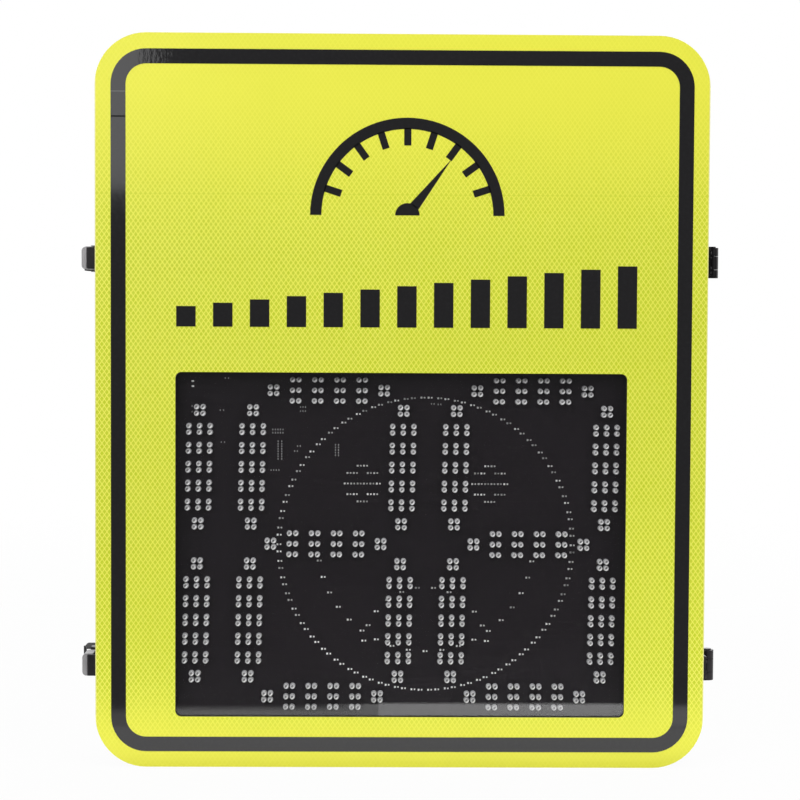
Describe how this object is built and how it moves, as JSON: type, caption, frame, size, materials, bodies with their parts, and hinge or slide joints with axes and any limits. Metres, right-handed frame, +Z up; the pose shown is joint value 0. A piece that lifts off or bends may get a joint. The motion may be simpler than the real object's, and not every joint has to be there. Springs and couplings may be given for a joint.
{
  "type": "radar speed sign",
  "caption": "Roadside radar speed sign with a yellow-green reflective face, LED digit window, latched hinged door and rear rails for a post.",
  "frame": {"origin": "middle of the plane on which the two rear rails meet the post's brackets, at the centre of the four bolt holes", "axes": "+Z up, +Y back towards the post, so the face looks along -Y; +X right as the driver sees it"},
  "size_m": [0.6355, 0.1397, 0.72],
  "materials": {
    "coated_aluminium": "satin grey powder coat on aluminium",
    "bare_aluminium": "mill finish",
    "yellow_sheet": "fluorescent yellow-green reflective sheet",
    "black_film": "gloss film",
    "black_rubber": "matt",
    "black_plastic": "fine grain",
    "zinc_plate": "zinc plated",
    "supply_case": "brushed",
    "grey_plastic": "satin",
    "green_board": "solder mask",
    "white_plastic": "satin",
    "black_steel": "black coating",
    "steel": "stainless",
    "clear_pane": "clear polycarbonate",
    "black_board": "black solder mask",
    "led_lens": "water clear"
  },
  "bodies": {
    "case": {"case_wall": "coated_aluminium", "back_panel": "coated_aluminium", "back_panel_screws": "steel", "upper_mount_rail": "bare_aluminium", "lower_mount_rail": "bare_aluminium", "rail_rivets": "bare_aluminium", "door_gasket": "black_rubber", "gland_body": "black_plastic", "gland_cap": "black_plastic", "gland_locknut": "black_plastic", "gland_seal": "black_rubber", "equipment_plate": "zinc_plate", "plate_standoffs": "zinc_plate", "plate_screws": "zinc_plate", "power_supply": "supply_case", "terminal_block": "grey_plastic", "controller_board": "green_board", "controller_standoffs": "zinc_plate", "radar_bracket": "zinc_plate", "radar_sensor": "white_plastic", "upper_hinge_case_leaf": "black_steel", "lower_hinge_case_leaf": "black_steel", "hinge_pins": "black_steel", "case_hinge_screws": "black_steel", "upper_latch_base": "black_steel", "lower_latch_base": "black_steel", "latch_base_screws": "steel", "latch_pivots": "steel"},
    "door": {"face_panel": "bare_aluminium", "reflective_sheet": "yellow_sheet", "border_film": "black_film", "door_frame": "coated_aluminium", "window_gasket": "black_rubber", "window_pane": "clear_pane", "display_frame": "black_plastic", "frame_studs": "zinc_plate", "frame_nuts": "zinc_plate", "display_board": "black_board", "board_screws": "zinc_plate", "display_connector": "black_plastic", "digit_leds": "led_lens", "upper_hinge_door_leaf": "black_steel", "lower_hinge_door_leaf": "black_steel", "door_hinge_screws": "black_steel", "upper_latch_keeper": "black_steel", "lower_latch_keeper": "black_steel", "keeper_screws": "steel"},
    "upper_lever": {"upper_latch_lever": "steel"},
    "upper_loop": {"upper_latch_loop": "steel"},
    "lower_lever": {"lower_latch_lever": "steel"},
    "lower_loop": {"lower_latch_loop": "steel"}
  },
  "joints": [
    {"name": "door_swing", "type": "hinge", "parent": "case", "child": "door", "pos_m": [0.3075, -0.1115, 0], "axis": [0, 0, 1], "range_deg": [0, 120]},
    {"name": "upper_lever_throw", "type": "hinge", "parent": "case", "child": "upper_lever", "pos_m": [-0.306, -0.098, 0.141], "axis": [0, 0, 1], "range_deg": [0, 100]},
    {"name": "upper_loop_turn", "type": "hinge", "parent": "upper_lever", "child": "upper_loop", "pos_m": [-0.3052, -0.089, 0.141], "axis": [0, 0, -1], "range_deg": [0, 105]},
    {"name": "lower_lever_throw", "type": "hinge", "parent": "case", "child": "lower_lever", "pos_m": [-0.306, -0.098, -0.2602], "axis": [0, 0, 1], "range_deg": [0, 100]},
    {"name": "lower_loop_turn", "type": "hinge", "parent": "lower_lever", "child": "lower_loop", "pos_m": [-0.3052, -0.089, -0.2602], "axis": [0, 0, -1], "range_deg": [0, 105]}
  ],
  "couplings": [
    {"joint": "upper_loop_turn", "follows": "upper_lever_throw", "ratio": 1.05},
    {"joint": "lower_loop_turn", "follows": "lower_lever_throw", "ratio": 1.05}
  ]
}
